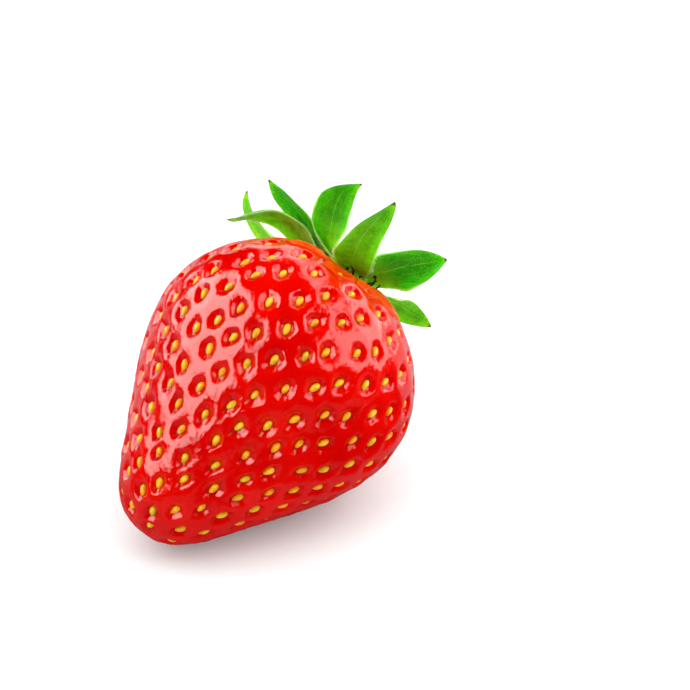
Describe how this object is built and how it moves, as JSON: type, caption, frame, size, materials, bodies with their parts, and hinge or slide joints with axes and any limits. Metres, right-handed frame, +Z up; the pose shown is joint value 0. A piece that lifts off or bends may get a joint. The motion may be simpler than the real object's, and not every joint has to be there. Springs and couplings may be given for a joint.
{
  "type": "strawberry",
  "caption": "Whole ripe strawberry lying on its side, with pitted flesh, leafy calyx and a short cut stem.",
  "frame": {"origin": "middle of the small flat spot on the fruit's side that it rests on", "axes": "+Z up; the fruit's own axis lies in the XZ plane and rises 26 degrees towards the calyx, which is on the +X side, with the tip on the -X side"},
  "size_m": [0.0474, 0.0351, 0.0405],
  "materials": {
    "flesh": "smooth, wet-looking glossy red skin, with golden-yellow achenes in its pits",
    "calyx": "soft satin green leaf, paler and yellower at its roots, with dark dried stamens",
    "stem": "matt pale green, with a dry cut end"
  },
  "bodies": {
    "root": {"flesh": "flesh", "calyx": "calyx", "stem": "stem"}
  },
  "joints": []
}
